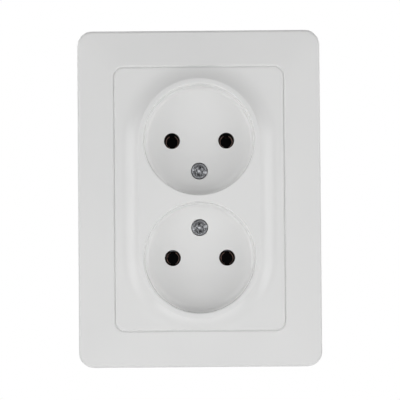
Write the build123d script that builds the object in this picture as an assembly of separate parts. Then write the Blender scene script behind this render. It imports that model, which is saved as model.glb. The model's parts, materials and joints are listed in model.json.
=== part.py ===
from build123d import *
from math import acos, atan2, cos, hypot, radians, sin
import os

os.makedirs("parts", exist_ok=True)

# A flush double wall socket for one round wall box, without earth contacts.
# X points right, Y into the wall and Z up. The wall plane is y = 0, and the origin is midway
# between the two box screws. Sizes are millimetres and angles are degrees.

# Driving sizes of the moulded front
frame_width = 84.9
frame_height = 117.5
frame_corner = 5.4
frame_wall = 1.8
frame_crown = 0.5
side_draft = 0.3
opening_side_margin = 10.25
opening_end_margin = 6.05
opening_corner = 3.4
plastic_wall = 2.0
socket_spacing = 41.0
well_radius = 19.3
well_depth = 11.0
well_draft = 0.15
hump_height = 2.2
plateau_margin = 1.8
cove_width = 6.5
cover_screw_spacing = 19.8
cover_screw_head_radius = 2.85

# Driving sizes of the electrical parts
pin_pitch = 19.0
pin_length = 19.0
pin_hole_radius = 2.75
pin_collar_wall = 0.8
sleeve_bore_radius = 2.0
sleeve_wall = 0.6
sleeve_length = 11.5
bar_thickness = 0.8
wire_radius = 1.6
terminal_spacing = 22.4
clamp_travel = 2.2

# Driving sizes of the metalwork and the base
strap_size = 71.0
sheet = 1.0
box_screw_spacing = 60.0
box_slot_length = 6.4
box_slot_radius = 2.1
base_radius = 28.5
base_width = 41.0
base_height = 52.8
base_rear = 31.0
claw_arm = 5.0
claw_swing = 28.0
claw_screw_radius = 1.5

# Clearances
edge_round = 1.0
groove_round = 0.6
groove_gap = 0.08
seat_gap = 0.02
fit_gap = 0.05
slide_gap = 0.2
run_gap = 0.4

# Depths that follow from the stack: cover floor, then strap, then contact cover, then base
frame_depth = well_depth + plastic_wall + slide_gap + sheet - hump_height
plateau_y = -(frame_depth + hump_height)
panel_y = -frame_depth
panel_rear = panel_y + plastic_wall
floor_y = plateau_y + well_depth
floor_rear = floor_y + plastic_wall
strap_front = -sheet
flange_rear = 1.5
base_front = flange_rear

# Places that repeat
socket_z = socket_spacing / 2
pin_x = pin_pitch / 2
cover_screw_z = cover_screw_spacing / 2
terminal_z = terminal_spacing / 2
pin_places = [(x, z) for z in (socket_z, -socket_z) for x in (-pin_x, pin_x)]
rows = {"upper": 1, "lower": -1}
sides = {"left": -1, "right": 1}


def facing(y):
    """Sketch plane at depth y, seen from the room: sketch x is X and sketch y is Z."""
    return Plane(origin=(0, y, 0), x_dir=(1, 0, 0), z_dir=(0, -1, 0))


def slab(outline, front, rear):
    return extrude(facing(rear) * outline, amount=rear - front)


def block(x_range, y_range, z_range):
    ranges = (x_range, y_range, z_range)
    middle = [(low + high) / 2 for low, high in ranges]
    return Pos(*middle) * Box(*[high - low for low, high in ranges])


def rod_along_y(x, z, radius, front, rear):
    return slab(Pos(x, z) * Circle(radius), front, rear)


def rod_along_x(y, z, radius, start, end):
    return extrude(Plane.YZ.offset(start) * Pos(y, z) * Circle(radius), amount=end - start)


def rod_along_z(x, y, radius, start, end):
    return extrude(Plane.XY.offset(start) * Pos(x, y) * Circle(radius), amount=end - start)


def cone_along_y(x, z, front_radius, rear_radius, front, rear):
    section = Polygon((0, front), (front_radius, front), (rear_radius, rear), (0, rear), align=None)
    return Pos(x, 0, z) * revolve(section, axis=Axis.Y)


def to_side(shape, side):
    """A shape built for the right side (+X), or its mirror image for the left."""
    return shape if side > 0 else mirror(shape, about=Plane.YZ)


def outline_distance(point, width, height, corner):
    """How far a point lies outside a rounded rectangle seen from the front."""
    x = abs(point.X) - (width / 2 - corner)
    z = abs(point.Z) - (height / 2 - corner)
    return hypot(max(x, 0), max(z, 0)) + min(max(x, z), 0) - corner


def front_edges(solid, width, height, corner, depth):
    """The edges of a solid that run round a rounded rectangle, in front of a depth."""
    return [
        edge
        for edge in solid.edges()
        if edge.center().Y < depth
        and all(abs(outline_distance(edge @ t, width, height, corner)) < 0.01 for t in (0.1, 0.5, 0.9))
    ]


# Outer frame
opening_width = 2 * (well_radius + opening_side_margin)
opening_height = socket_spacing + 2 * (well_radius + opening_end_margin)
frame_border = (frame_width - opening_width) / 2
frame_crest = 2.0
ledge_reach = 2.0
ledge_thickness = 1.5
ledge_root = 2.0
frame_rib = 1.2
frame_rib_depth = 6.0
frame_rib_rear = panel_rear + frame_rib_depth


def frame_shell():
    """Drafted side walls and a front that falls slightly from the opening to the edge."""
    side_y = panel_y + frame_crown
    crest_y = panel_y - frame_crown * frame_crest / frame_border
    front_width = frame_width - 2 * side_draft
    front_height = frame_height - 2 * side_draft
    front_corner = frame_corner - side_draft
    foot = facing(0) * RectangleRounded(frame_width, frame_height, frame_corner)
    shoulder = facing(side_y) * RectangleRounded(front_width, front_height, front_corner)
    crest_outline = RectangleRounded(
        opening_width - 2 * frame_crest, opening_height - 2 * frame_crest, opening_corner - frame_crest
    )
    body = loft([foot, shoulder], ruled=True) + loft([shoulder, facing(crest_y) * crest_outline], ruled=True)
    rim = front_edges(body, front_width, front_height, front_corner, side_y + 0.01)
    body = fillet(rim, edge_round)
    cavity = RectangleRounded(
        frame_width - 2 * frame_wall, frame_height - 2 * frame_wall, frame_corner - frame_wall
    )
    body -= slab(cavity, panel_rear, 1)
    body -= slab(RectangleRounded(opening_width, opening_height, opening_corner), plateau_y, 1)
    rim = front_edges(body, opening_width, opening_height, opening_corner, panel_y + frame_crown)
    return fillet(rim, groove_round)


def make_frame():
    body = frame_shell()
    ledge_outer = RectangleRounded(
        opening_width + 2 * ledge_root, opening_height + 2 * ledge_root, opening_corner + ledge_root
    )
    ledge_inner = RectangleRounded(
        opening_width - 2 * ledge_reach, opening_height - 2 * ledge_reach, opening_corner - ledge_reach
    )
    body += slab(ledge_outer - ledge_inner, panel_rear, panel_rear + ledge_thickness)
    rib_y = (panel_rear - frame_rib, frame_rib_rear)
    inner_x = opening_width / 2 + ledge_root - frame_rib
    inner_z = opening_height / 2 + ledge_root - frame_rib
    outer_x = frame_width / 2 - frame_wall / 2
    outer_z = frame_height / 2 - frame_wall / 2
    for place in (-0.375, -0.125, 0.125, 0.375):
        z = place * frame_height
        x = place * frame_width
        for side in (-1, 1):
            across = sorted((side * inner_x, side * outer_x))
            along = sorted((side * inner_z, side * outer_z))
            body += block(across, rib_y, (z - frame_rib / 2, z + frame_rib / 2))
            body += block((x - frame_rib / 2, x + frame_rib / 2), rib_y, along)
    return body


# Socket cover
panel_width = opening_width - 2 * groove_gap
panel_height = opening_height - 2 * groove_gap
panel_corner = opening_corner - groove_gap
plateau_radius = well_radius + plateau_margin
plateau_round = 0.4
rim_round = 0.45
floor_round = 0.4
well_wall = 1.6
pin_lip = 0.7
counterbore_depth = 1.8
counterbore_y = floor_y + counterbore_depth
pin_collar_radius = pin_hole_radius + pin_collar_wall
boss_radius = 4.2
boss_length = 1.5
boss_rear = floor_rear + boss_length
skirt_wall = 1.2
skirt_corner = opening_corner - ledge_reach - groove_gap
skirt_past_ledge = 0.3
skirt_rear = panel_rear + ledge_thickness + skirt_past_ledge
cover_rib_depth = 6.0


def hump_land(rear):
    """Everything behind the cover's front skin: a stadium-shaped field with a hollow-curved flank."""
    cove_radius = (cove_width**2 + hump_height**2) / (2 * hump_height)
    foot_radius = plateau_radius + cove_width
    middle_angle = acos(1 - hump_height / cove_radius) / 2
    middle = (
        foot_radius - cove_radius * sin(middle_angle),
        panel_y - cove_radius * (1 - cos(middle_angle)),
    )
    reach = frame_height
    section = make_face(
        [
            Line((0, rear), (0, plateau_y)),
            Line((0, plateau_y), (plateau_radius, plateau_y)),
            ThreePointArc((plateau_radius, plateau_y), middle, (foot_radius, panel_y)),
            Line((foot_radius, panel_y), (reach, panel_y)),
            Line((reach, panel_y), (reach, rear)),
            Line((reach, rear), (0, rear)),
        ]
    )
    shoulder = section.vertices().sort_by_distance((plateau_radius, plateau_y, 0))[0]
    section = fillet(shoulder, plateau_round)
    lower_end = Pos(0, 0, -socket_z) * revolve(section, axis=Axis.Y, revolution_arc=180)
    right_half = Pos(0, 0, -socket_z) * extrude(section, amount=socket_spacing, dir=(0, 0, 1))
    land = right_half + mirror(right_half, about=Plane.YZ)
    return land + lower_end + mirror(lower_end, about=Plane.XY)


def well_space():
    """The room inside one well, turned about its own axis."""
    mouth = (well_radius + rim_round, plateau_y)
    floor_radius = well_radius - well_draft
    slant = cos(radians(45))
    rim_middle = (
        well_radius + rim_round * (1 - slant),
        plateau_y + rim_round * (1 - slant),
    )
    floor_middle = (
        floor_radius - floor_round * (1 - slant),
        floor_y - floor_round * (1 - slant),
    )
    wall_top = (well_radius, plateau_y + rim_round)
    wall_foot = (floor_radius, floor_y - floor_round)
    floor_edge = (floor_radius - floor_round, floor_y)
    above = plateau_y - 1
    section = make_face(
        [
            Line((0, above), (mouth[0], above)),
            Line((mouth[0], above), mouth),
            ThreePointArc(mouth, rim_middle, wall_top),
            Line(wall_top, wall_foot),
            ThreePointArc(wall_foot, floor_middle, floor_edge),
            Line(floor_edge, (0, floor_y)),
            Line((0, floor_y), (0, above)),
        ]
    )
    return revolve(section, axis=Axis.Y)


def make_cover():
    land = hump_land(rear=1)
    outline = RectangleRounded(panel_width, panel_height, panel_corner)
    solid = land & slab(outline, plateau_y - 1, panel_rear)
    rim = front_edges(solid, panel_width, panel_height, panel_corner, panel_y + 0.5)
    solid = fillet(rim, groove_round)
    cover = solid - Pos(0, plastic_wall, 0) * land
    ledge_width = opening_width - 2 * ledge_reach
    ledge_height = opening_height - 2 * ledge_reach
    skirt_width = ledge_width - 2 * groove_gap
    skirt_height = ledge_height - 2 * groove_gap
    skirt = RectangleRounded(skirt_width, skirt_height, skirt_corner) - RectangleRounded(
        skirt_width - 2 * skirt_wall, skirt_height - 2 * skirt_wall, skirt_corner / 2
    )
    cover += slab(skirt, panel_rear - skirt_wall, skirt_rear)
    tube_front = plateau_y + plastic_wall / 2
    rib_half = skirt_wall / 2
    rib_reach = skirt_width / 2 - skirt_wall / 2
    rib_y = (panel_rear - skirt_wall, panel_rear + cover_rib_depth)
    cover += block((-rib_reach, rib_reach), rib_y, (-rib_half, rib_half))
    for z in (-socket_z, socket_z):
        cover += block((-rib_reach, rib_reach), rib_y, (z - rib_half, z + rib_half))
    for row in rows.values():
        cover += rod_along_y(0, row * socket_z, well_radius + well_wall, tube_front, floor_rear)
        cover += rod_along_y(0, row * cover_screw_z, boss_radius, floor_rear - 1, boss_rear)
    for row in rows.values():
        cover -= Pos(0, 0, row * socket_z) * well_space()
        counterbore = cover_screw_head_radius + slide_gap / 2
        cover -= rod_along_y(0, row * cover_screw_z, counterbore, floor_y - 1, counterbore_y)
        cover -= rod_along_y(0, row * cover_screw_z, cover_screw_radius + slide_gap, floor_y, boss_rear + 1)
    for x, z in pin_places:
        cover -= rod_along_y(x, z, pin_hole_radius, floor_y - 1, floor_rear + 1)
        cover -= rod_along_y(x, z, pin_collar_radius + slide_gap / 2, floor_y + pin_lip, floor_rear + 1)
    return cover


# Cover screws and the inserts that take them
cover_screw_radius = 1.45
cover_screw_tip = 8.0
cover_screw_turns = {1: -14.0, -1: 9.0}
cover_head_sink = 0.1
cover_head_round = 0.4
slot_width = 0.9
slot_depth = 0.7
recess_span = 3.4
recess_depth = 1.1
insert_radius = 2.2
insert_rear = 7.0
insert_groove_width = 1.0
insert_groove_depth = 0.4


def make_cover_screws():
    """Cheese heads with a full slot and a cross recess, each left at the turn it was tightened to."""
    head_front = floor_y + cover_head_sink
    slot = Rectangle(4 * cover_screw_head_radius, slot_width)
    cross = Rectangle(recess_span, slot_width) + Rectangle(slot_width, recess_span)
    screws = []
    for row in rows.values():
        z = row * cover_screw_z
        place = Pos(0, z) * Rot(0, 0, cover_screw_turns[row])
        head = rod_along_y(0, z, cover_screw_head_radius, head_front, counterbore_y)
        head = fillet(head.edges().group_by(Axis.Y)[0], cover_head_round)
        screw = head + rod_along_y(0, z, cover_screw_radius, counterbore_y - slide_gap, cover_screw_tip)
        screw -= slab(place * slot, head_front - 1, head_front + slot_depth)
        screw -= slab(place * cross, head_front - 1, head_front + recess_depth)
        screws.append(screw)
    return Compound(screws)


def make_inserts():
    inserts = []
    for row in rows.values():
        z = row * cover_screw_z
        body = rod_along_y(0, z, insert_radius, base_front, insert_rear)
        groove_y = (base_front + insert_rear) / 2
        ring = Circle(2 * insert_radius) - Circle(insert_radius - insert_groove_depth)
        half = insert_groove_width / 2
        body -= slab(Pos(0, z) * ring, groove_y - half, groove_y + half)
        inserts.append(body - rod_along_y(0, z, cover_screw_radius + fit_gap, base_front, insert_rear))
    return Compound(inserts)


# Contact bars: a strip with two split sleeves and two terminal tabs
sleeve_outer = sleeve_bore_radius + sleeve_wall
sleeve_recess = 1.5
strip_margin = 0.2
strip_front = base_front + sleeve_length + sleeve_recess
strip_rear = strip_front + bar_thickness
strip_inner = pin_x - sleeve_outer - strip_margin
strip_outer = pin_x + sleeve_outer + strip_margin
strip_end = socket_z + sleeve_outer
tab_outer = strip_inner + bar_thickness
tab_half = 2.4
leaf_angle = 130.0
flare_length = 1.6
flare_rise = 0.7


def sleeve_leaf():
    """One half of a split sleeve, centred on +X of its own axis, with a flared mouth."""
    mouth = strip_front - sleeve_length
    throat = mouth + flare_length
    root = strip_front + bar_thickness / 2
    section = Polygon(
        (sleeve_bore_radius, root),
        (sleeve_outer, root),
        (sleeve_outer, throat),
        (sleeve_outer + flare_rise, mouth),
        (sleeve_bore_radius + flare_rise, mouth),
        (sleeve_bore_radius, throat),
        align=None,
    )
    leaf = revolve(section, axis=Axis.Y, revolution_arc=leaf_angle)
    return Rot(0, -leaf_angle / 2, 0) * leaf


def make_contact_bar(side):
    bar = block((strip_inner, strip_outer), (strip_front, strip_rear), (-strip_end, strip_end))
    leaf = sleeve_leaf()
    for row in rows.values():
        place = Pos(pin_x, 0, row * socket_z)
        bar += place * leaf
        bar += place * Rot(0, 180, 0) * leaf
        bar -= rod_along_y(pin_x, row * socket_z, sleeve_bore_radius, strip_front - 0.1, strip_rear)
        z = row * terminal_z
        bar += block((strip_inner, tab_outer), (strip_front, tab_rear), (z - tab_half, z + tab_half))
    return to_side(bar, side)


# Sleeve springs: open rings that keep the leaves closed on a pin
spring_wall = 0.5
spring_width = 3.0
spring_setback = 3.5
spring_inner = sleeve_outer + seat_gap
spring_outer = spring_inner + spring_wall
spring_rear = strip_front - spring_setback
spring_front = spring_rear - spring_width
spring_angle = 290.0


def make_sleeve_spring(row, side):
    section = Polygon(
        (spring_inner, spring_front),
        (spring_outer, spring_front),
        (spring_outer, spring_rear),
        (spring_inner, spring_rear),
        align=None,
    )
    ring = revolve(section, axis=Axis.Y, revolution_arc=spring_angle)
    turn = Rot(0, 90 * row - spring_angle / 2, 0)
    return Pos(side * pin_x, 0, row * socket_z) * turn * ring


# Terminals: a cage that a screw draws outwards, so that it clamps a wire on the tab
wire_space = 2 * wire_radius + slide_gap / 2
cage_wall = 1.0
cage_nut_wall = 1.5
cage_width = 7.2
cage_length = 7.0
cage_cheek = 0.9
cage_round = 0.6
cage_setback = 3.2
cage_nut_gap = 2.9
tab_overhang = 0.8
terminal_screw_radius = 1.7
terminal_head_radius = 2.8
terminal_head = 2.0
terminal_slot_depth = 1.0
screw_chamfer = 0.4
head_chamfer = 0.3
cage_grip = strip_inner - wire_space
cage_inner = cage_grip - cage_wall
cage_nut_face = tab_outer + cage_nut_gap
cage_outer = cage_nut_face + cage_nut_wall
cage_front = strip_rear + cage_setback
cage_rear = cage_front + cage_length
terminal_y = (cage_front + cage_rear) / 2
tab_rear = cage_rear + tab_overhang
chamber_rear = tab_rear + run_gap
terminal_tip = tab_outer + slide_gap / 2
terminal_head_inner = cage_outer + clamp_travel + run_gap
terminal_head_outer = terminal_head_inner + terminal_head


def make_terminal_cage(row, side):
    z = row * terminal_z
    half = cage_width / 2
    cage = block((cage_inner, cage_outer), (cage_front, cage_rear), (z - half, z + half))
    cage = fillet(cage.edges().filter_by(Axis.Y), cage_round)
    inside = half - cage_cheek
    cage -= block((cage_grip, cage_nut_face), (cage_front, cage_rear), (z - inside, z + inside))
    cage -= rod_along_x(terminal_y, z, terminal_screw_radius + fit_gap, cage_nut_face - 1, cage_outer + 1)
    return to_side(cage, side)


def make_terminal_screw(row, side):
    z = row * terminal_z
    screw = rod_along_x(terminal_y, z, terminal_screw_radius, terminal_tip, terminal_head_outer)
    screw = chamfer(screw.edges().group_by(Axis.X)[0], screw_chamfer)
    head = rod_along_x(terminal_y, z, terminal_head_radius, terminal_head_inner, terminal_head_outer)
    screw += chamfer(head.edges().group_by(Axis.X)[-1], head_chamfer)
    slot_half = slot_width / 2
    slot_reach = 2 * terminal_head_radius
    screw -= block(
        (terminal_head_outer - terminal_slot_depth, terminal_head_outer + 1),
        (terminal_y - slot_reach, terminal_y + slot_reach),
        (z - slot_half, z + slot_half),
    )
    return to_side(screw, side)


# Spreading claws: bracket, pin, claw, nut and screw on each side
trench_inner = strip_inner - slide_gap
trench_outer = strip_outer + slide_gap
bracket_half = 5.2
bracket_margin = 0.3
ear_round = 2.0
ear_front = 0.6
claw_half = 3.8
eye_radius = 2.0
nut_eye_radius = 2.4
tail_radius = 1.6
pin_radius = 1.0
journal_radius = 1.2
nut_radius = 2.0
nut_half = 2.6
trench_wall = 1.6
claw_room = 1.0
claw_notch = trench_outer + trench_wall
claw_notch_half = bracket_half + claw_room
bracket_inner = claw_notch + slide_gap
bracket_outer = bracket_inner + sheet
pivot_x = bracket_outer + eye_radius + bracket_margin
pivot_y = 6.0
half_swing = radians(claw_swing / 2)
nut_x = pivot_x + claw_arm * cos(half_swing)
nut_y = pivot_y + claw_arm * sin(half_swing)
claw_screw_x = pivot_x + claw_arm * (1 + cos(half_swing)) / 2
journal_gap = claw_arm * (1 - cos(half_swing)) / 2 + fit_gap
claw_tail_out = 3.75
claw_tail_reach = 12.6
claw_web_start = 5.5
claw_tooth_root = 0.2
claw_tooth_rise = 1.6
ear_margin = 2.2
tail_x = nut_x + claw_tail_out
tail_y = nut_y + claw_tail_reach
bracket_rear = pivot_y + ear_margin
bracket_reach = pivot_x + ear_margin
claw_head_radius = 2.8
claw_head = 2.0
claw_neck_radius = claw_screw_radius - fit_gap
claw_collar_radius = 2.4
claw_collar = 0.8
claw_slot_depth = 0.9
claw_head_round = 0.4
claw_screw_past_nut = 5.8
pin_overhang = 0.4
claw_screw_tip = nut_y + claw_screw_past_nut


def claw_web():
    """The back of the claw between its cheeks, along their outer edge, cut to three teeth."""
    reach = hypot(tail_x - nut_x, tail_y - nut_y)
    lean = atan2(tail_y - nut_y, tail_x - nut_x) - acos((nut_eye_radius - tail_radius) / reach)
    outward = (cos(lean), sin(lean), 0)
    root = (nut_x + nut_eye_radius * cos(lean), nut_y + nut_eye_radius * sin(lean), 0)
    valley = reach - claw_tooth_root
    point = reach + claw_tooth_rise
    pitch = 2 * claw_half / 3
    teeth = []
    for tooth in range(3):
        left = -claw_half + tooth * pitch
        teeth += [(left, valley), (left + pitch / 2, point)]
    lower_edge = [(claw_half, valley), (claw_half, claw_web_start), (-claw_half, claw_web_start)]
    outline = Polygon(*teeth, *lower_edge, align=None)
    plane = Plane(origin=root, x_dir=(0, 0, -1), z_dir=outward)
    return extrude(plane * outline, amount=-sheet)


def make_claw(side):
    eye = Pos(pivot_x, pivot_y) * Circle(eye_radius)
    nut_eye = Pos(nut_x, nut_y) * Circle(nut_eye_radius)
    tail = Pos(tail_x, tail_y) * Circle(tail_radius)
    cheek = make_hull(eye.edges() + nut_eye.edges()) + make_hull(nut_eye.edges() + tail.edges())
    cheek -= Pos(pivot_x, pivot_y) * Circle(pin_radius + 2 * fit_gap)
    cheek -= Pos(nut_x, nut_y) * Circle(journal_radius + journal_gap)
    claw = claw_web()
    for low in (-claw_half, claw_half - sheet):
        claw += extrude(Plane.XY.offset(low) * cheek, amount=sheet)
    return to_side(claw, side)


def make_claw_pin(side):
    length = bracket_half + pin_overhang
    pin = rod_along_z(pivot_x, pivot_y, pin_radius, -length, length)
    return to_side(pin, side)


def make_claw_nut(side):
    nut = rod_along_z(claw_screw_x, nut_y, nut_radius, -nut_half, nut_half)
    nut += rod_along_z(claw_screw_x, nut_y, journal_radius, -claw_half, claw_half)
    drill = claw_screw_radius + fit_gap
    nut -= rod_along_y(claw_screw_x, 0, drill, nut_y - 2 * nut_radius, nut_y + 2 * nut_radius)
    return to_side(nut, side)


def make_claw_screw(side):
    x = claw_screw_x
    head_rear = strap_front - fit_gap
    head = rod_along_y(x, 0, claw_head_radius, head_rear - claw_head, head_rear)
    head = fillet(head.edges().group_by(Axis.Y)[0], claw_head_round)
    screw = head + rod_along_y(x, 0, claw_neck_radius, head_rear - claw_head / 2, claw_collar)
    collar_front = 2 * fit_gap
    screw += rod_along_y(x, 0, claw_collar_radius, collar_front, collar_front + claw_collar)
    shank = rod_along_y(x, 0, claw_screw_radius, collar_front, claw_screw_tip)
    screw += chamfer(shank.edges().group_by(Axis.Y)[-1], screw_chamfer)
    slot_half = slot_width / 2
    slot_reach = 2 * claw_head_radius
    screw -= block(
        (x - slot_reach, x + slot_reach),
        (head_rear - claw_head - 1, head_rear - claw_head + claw_slot_depth),
        (-slot_half, slot_half),
    )
    return to_side(screw, side)


# Mounting strap and its screws
strap_bevel = 12.0
strap_opening_corner = 2.0
level_notch = 2.0
strap_screw_edge = 2.3
strap_screw_land = 0.4
strap_screw_offset = 3.8
island_margin = 1.9
keyhole_offset = 0.8
strap_recess_span = 2.6
strap_recess_width = 0.7
strap_recess_depth = 0.7
strap_screw_radius = 1.2
strap_head_radius = 2.3
strap_screw_tip = 9.0
strap_screw_x = base_width / 2 - strap_screw_edge
strap_screw_z = terminal_z + strap_screw_offset
strap_opening_x = strap_screw_x - strap_head_radius - strap_screw_land
strap_opening_z = socket_z + sleeve_outer + island_margin
keyhole_radius = claw_collar_radius + slide_gap
strap_screw_places = [(x * strap_screw_x, z * strap_screw_z) for x in (-1, 1) for z in (-1, 1)]


def claw_bracket():
    """A tongue of the strap folded back, with two ears that hold the claw's pin."""
    across = (-bracket_half, bracket_half)
    tongue_end = max(bracket_outer, strap_opening_x) + sheet / 2
    bracket = block((bracket_inner, bracket_outer), (strap_front, bracket_rear), across)
    bracket += block((bracket_inner, tongue_end), (strap_front, 0), across)
    bend = bracket.edges().filter_by(Axis.Z).sort_by_distance((bracket_inner, strap_front, 0))[0]
    bracket = fillet(bend, 0.9 * sheet)
    for low in (-bracket_half, bracket_half - sheet):
        ear = block((bracket_inner, bracket_reach), (ear_front, bracket_rear), (low, low + sheet))
        corner = ear.edges().filter_by(Axis.Z).sort_by_distance((bracket_reach, bracket_rear, low))[0]
        bracket += fillet(corner, ear_round)
    return bracket - rod_along_z(
        pivot_x, pivot_y, pin_radius + seat_gap, -bracket_half - 1, bracket_half + 1
    )


def make_strap():
    outline = chamfer(Rectangle(strap_size, strap_size).vertices(), strap_bevel)
    outline -= RectangleRounded(2 * strap_opening_x, 2 * strap_opening_z, strap_opening_corner)
    outline -= Rectangle(2 * bracket_inner, 2 * bracket_half)
    for side in (-1, 1):
        outline -= Pos(side * strap_size / 2, 0) * Rot(0, 0, 45) * Rectangle(level_notch, level_notch)
        outline -= Pos(0, side * strap_size / 2) * Rot(0, 0, 45) * Rectangle(level_notch, level_notch)
        outline -= Pos(side * box_screw_spacing / 2, 0) * SlotOverall(box_slot_length, 2 * box_slot_radius)
        keyhole_x = pivot_x + keyhole_offset
        slot_half = claw_neck_radius + slide_gap
        outline -= Pos(side * keyhole_x, 0) * Circle(keyhole_radius)
        outline -= Pos(side * (keyhole_x + claw_screw_x) / 2, 0) * Rectangle(
            claw_screw_x - keyhole_x, 2 * slot_half
        )
        outline -= Pos(side * claw_screw_x, 0) * Circle(slot_half)
    strap = slab(outline, strap_front, 0)
    for side in (-1, 1):
        strap += to_side(claw_bracket(), side)
    for x, z in strap_screw_places:
        countersink = strap_head_radius + fit_gap
        strap -= cone_along_y(x, z, countersink, countersink - sheet, strap_front, 0)
    return strap


def make_strap_screws():
    cross = Rectangle(strap_recess_span, strap_recess_width) + Rectangle(strap_recess_width, strap_recess_span)
    screws = []
    for x, z in strap_screw_places:
        screw = cone_along_y(x, z, strap_head_radius, strap_head_radius - sheet, strap_front, 0)
        screw += rod_along_y(x, z, strap_screw_radius, strap_front + sheet / 2, strap_screw_tip)
        screws.append(screw - slab(Pos(x, z) * cross, strap_front - 1, strap_front + strap_recess_depth))
    return Compound(screws)


# Contact cover and contact base
chamber_wall_gap = 1.0
pin_end_gap = 1.0
screw_end_gap = 0.5
core_half_x = 4.0
core_half_z = 5.5
core_depth = 18.0
wire_funnel = 1.0


def base_outline():
    outline = Rectangle(base_width, base_height) & Circle(base_radius)
    notch_depth = base_width / 2 - claw_notch
    for side in (-1, 1):
        notch_x = side * (claw_notch + notch_depth / 2 + 1)
        outline -= Pos(notch_x, 0) * Rectangle(notch_depth + 2, 2 * claw_notch_half)
    return outline


def make_contact_cover():
    """A plate with an island in the strap's opening, and collars that reach into the well floors."""
    island = RectangleRounded(
        2 * (strap_opening_x - slide_gap), 2 * (strap_opening_z - slide_gap), strap_opening_corner - slide_gap
    )
    for side in (-1, 1):
        notch_x = side * (claw_notch + strap_opening_x) / 2
        notch_width = max(strap_opening_x - claw_notch, slide_gap)
        island -= Pos(notch_x, 0) * Rectangle(notch_width, 2 * (bracket_half + slide_gap))
    cover = slab(island, strap_front, 0) + slab(base_outline(), 0, flange_rear)
    collar_front = floor_y + pin_lip + slide_gap / 2
    for x, z in pin_places:
        cover += rod_along_y(x, z, pin_collar_radius, collar_front, 0)
        cover -= rod_along_y(x, z, pin_hole_radius, collar_front, flange_rear)
    for row in rows.values():
        z = row * cover_screw_z
        cover -= rod_along_y(0, z, boss_radius + slide_gap, strap_front, boss_rear + slide_gap)
        cover -= rod_along_y(0, z, cover_screw_radius + slide_gap, strap_front, flange_rear)
    for x, z in strap_screw_places:
        cover -= rod_along_y(x, z, strap_screw_radius + fit_gap, strap_front, flange_rear)
    return cover


def make_contact_base():
    base = slab(base_outline(), base_front, base_rear)
    rear_rim = base.edges().group_by(Axis.Y)[-1]
    base = fillet(rear_rim, edge_round)
    chamber_radius = spring_outer + chamber_wall_gap
    pin_tip = floor_y + pin_length + pin_end_gap
    chamber_half = cage_width / 2 + slide_gap
    trench_end = strip_end + slide_gap
    for x, z in pin_places:
        base -= rod_along_y(x, z, chamber_radius, base_front, strip_rear)
        base -= rod_along_y(x, z, sleeve_outer, base_front, pin_tip)
    for x, z in strap_screw_places:
        base -= rod_along_y(x, z, strap_screw_radius + seat_gap, base_front, strap_screw_tip + screw_end_gap)
    for row in rows.values():
        z = row * cover_screw_z
        base -= rod_along_y(0, z, insert_radius + seat_gap, base_front, insert_rear)
        base -= rod_along_y(0, z, cover_screw_radius + slide_gap, insert_rear, cover_screw_tip + screw_end_gap)
    for side in sides.values():
        trench = block((trench_inner, trench_outer), (base_front, strip_rear), (-trench_end, trench_end))
        base -= to_side(trench, side)
        for row in rows.values():
            base -= to_side(terminal_room(row * terminal_z, chamber_half), side)
    core_y = (base_rear - core_depth, base_rear + 1)
    return base - block((-core_half_x, core_half_x), core_y, (-core_half_z, core_half_z))


def terminal_room(z, half):
    """Side chamber for a cage and its screw, the slot for the tab and the wire's way in."""
    room = block(
        (cage_inner - slide_gap, base_width / 2 + 1), (cage_front - slide_gap, chamber_rear), (z - half, z + half)
    )
    room += block(
        (trench_inner, tab_outer + slide_gap),
        (strip_rear - 1, cage_front),
        (z - tab_half - slide_gap, z + tab_half + slide_gap),
    )
    wire_x = (cage_grip + strip_inner) / 2
    room += rod_along_y(wire_x, z, wire_radius, chamber_rear - 1, base_rear + 1)
    mouth_radius = wire_radius + wire_funnel
    room += cone_along_y(wire_x, z, wire_radius, mouth_radius, base_rear - wire_funnel, base_rear)
    return room


nodes = {
    "outer_frame": make_frame(),
    "socket_cover": make_cover(),
    "cover_screws": make_cover_screws(),
    "cover_screw_inserts": make_inserts(),
    "mounting_strap": make_strap(),
    "strap_screws": make_strap_screws(),
    "contact_cover": make_contact_cover(),
    "contact_base": make_contact_base(),
}
for side_name, side in sides.items():
    nodes[f"contact_bar_{side_name}"] = make_contact_bar(side)
    nodes[f"claw_{side_name}"] = make_claw(side)
    nodes[f"claw_pin_{side_name}"] = make_claw_pin(side)
    nodes[f"claw_nut_{side_name}"] = make_claw_nut(side)
    nodes[f"claw_screw_{side_name}"] = make_claw_screw(side)
    for row_name, row in rows.items():
        nodes[f"sleeve_spring_{row_name}_{side_name}"] = make_sleeve_spring(row, side)
        nodes[f"terminal_cage_{row_name}_{side_name}"] = make_terminal_cage(row, side)
        nodes[f"terminal_screw_{row_name}_{side_name}"] = make_terminal_screw(row, side)

for name, shape in nodes.items():
    export_step(shape, f"parts/{name}.step")
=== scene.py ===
import json
import math

import bmesh
import bpy
from mathutils import Matrix, Vector
from mathutils.geometry import delaunay_2d_cdt


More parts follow.
